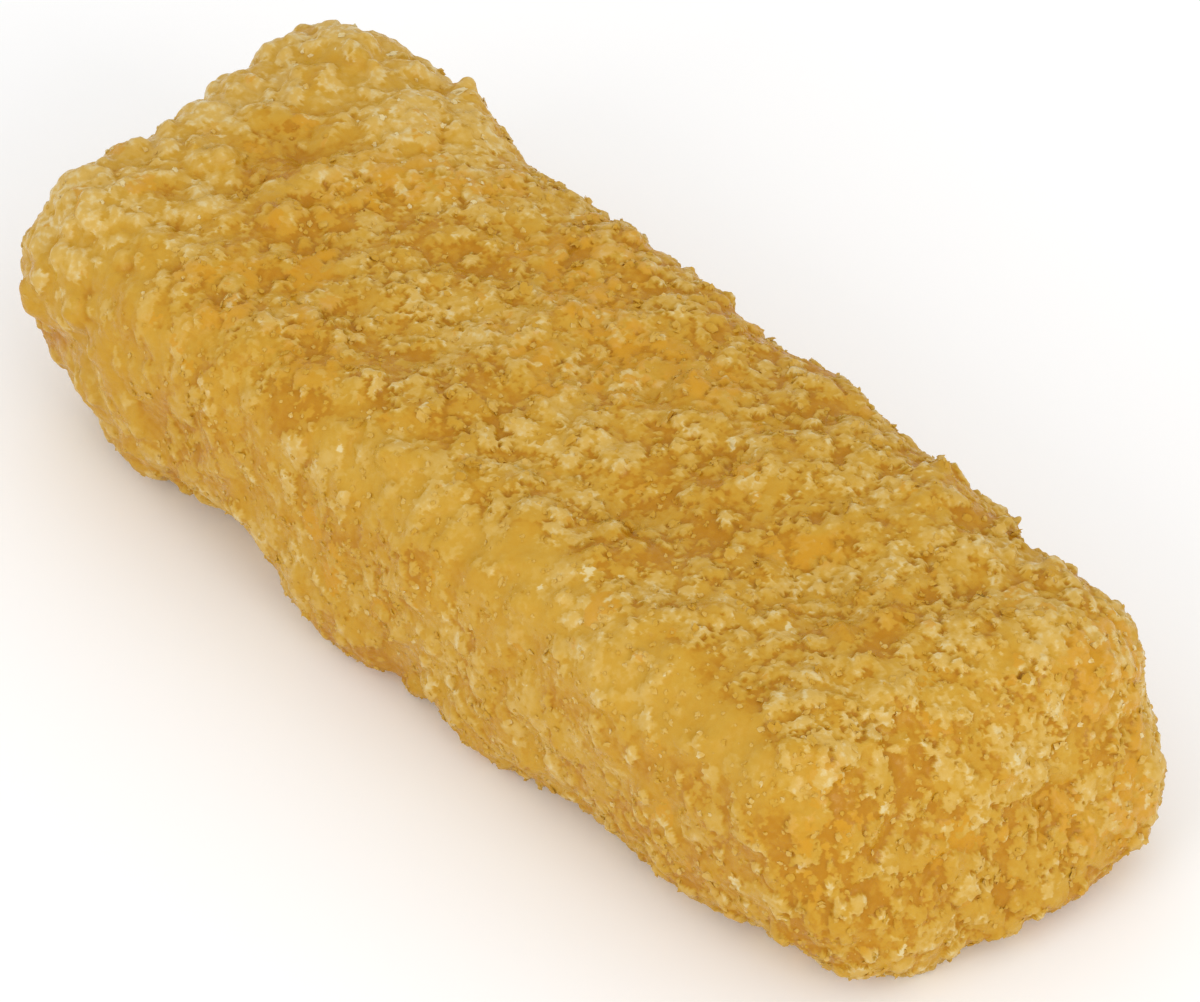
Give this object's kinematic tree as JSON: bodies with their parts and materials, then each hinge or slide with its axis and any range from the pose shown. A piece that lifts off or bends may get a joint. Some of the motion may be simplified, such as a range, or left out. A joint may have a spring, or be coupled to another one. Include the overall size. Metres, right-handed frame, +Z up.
{
  "type": "fish finger",
  "caption": "Cooked fish finger: a chunky oblong block of fish in a coarse golden breadcrumb crust, lying flat on its broad side.",
  "frame": {"origin": "on the surface that the fish finger lies on, under the middle of its bounding box", "axes": "+X along the length, towards the end whose foot slopes outwards; +Y across the width; +Z up, through the thickness"},
  "size_m": [0.0842, 0.033, 0.0208],
  "materials": {
    "crumb_crust": "matte"
  },
  "bodies": {
    "root": {"fish_finger": "crumb_crust"}
  },
  "joints": []
}
